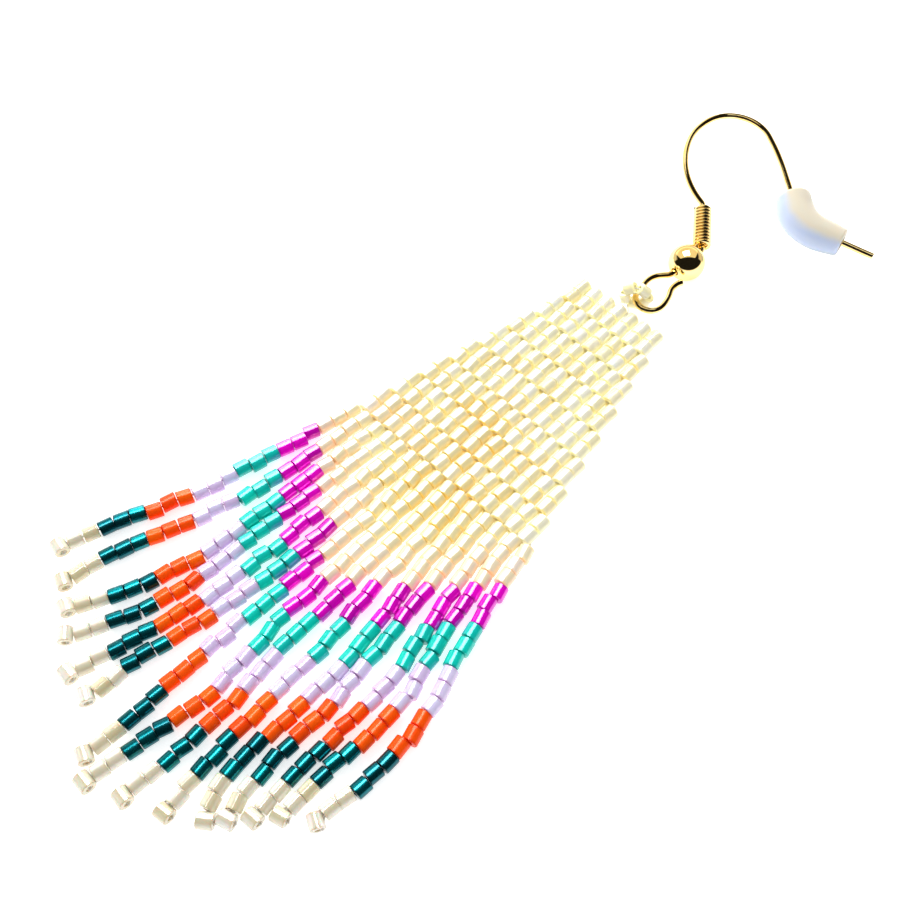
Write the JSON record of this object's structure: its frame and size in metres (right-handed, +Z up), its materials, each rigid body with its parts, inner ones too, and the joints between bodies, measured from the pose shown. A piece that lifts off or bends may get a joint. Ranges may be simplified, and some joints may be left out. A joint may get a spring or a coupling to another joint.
{
  "type": "beaded dangle earring",
  "caption": "Long beaded dangle earring lying flat: gilt ear hook with coil, ball and soft stopper, woven cylinder-bead panel and a fringe of bead strands.",
  "frame": {"origin": "middle of the earring's footprint on the surface that it lies on", "axes": "+Z up from the surface, +Y from the fringe to the ear hook, +X across the panel"},
  "size_m": [0.0386, 0.1026, 0.004],
  "materials": {
    "gilt_wire": "polished gold plate",
    "milky_silicone": "satin, translucent",
    "ivory_beads": "pearl lustre, slightly translucent",
    "strand_beads": "cylinder beads in ivory, magenta, turquoise, lilac, orange and teal"
  },
  "bodies": {
    "root": {"ear_hook": "gilt_wire", "hook_coil": "gilt_wire", "hook_ball": "gilt_wire", "wire_stopper": "milky_silicone", "hanging_loop": "ivory_beads", "bead_panel": "ivory_beads", "fringe_strand_01": "strand_beads", "fringe_strand_02": "strand_beads", "fringe_strand_03": "strand_beads", "fringe_strand_04": "strand_beads", "fringe_strand_05": "strand_beads", "fringe_strand_06": "strand_beads", "fringe_strand_07": "strand_beads", "fringe_strand_08": "strand_beads", "fringe_strand_09": "strand_beads", "fringe_strand_10": "strand_beads", "fringe_strand_11": "strand_beads", "fringe_strand_12": "strand_beads", "fringe_strand_13": "strand_beads", "fringe_strand_14": "strand_beads", "fringe_strand_15": "strand_beads"}
  },
  "joints": []
}
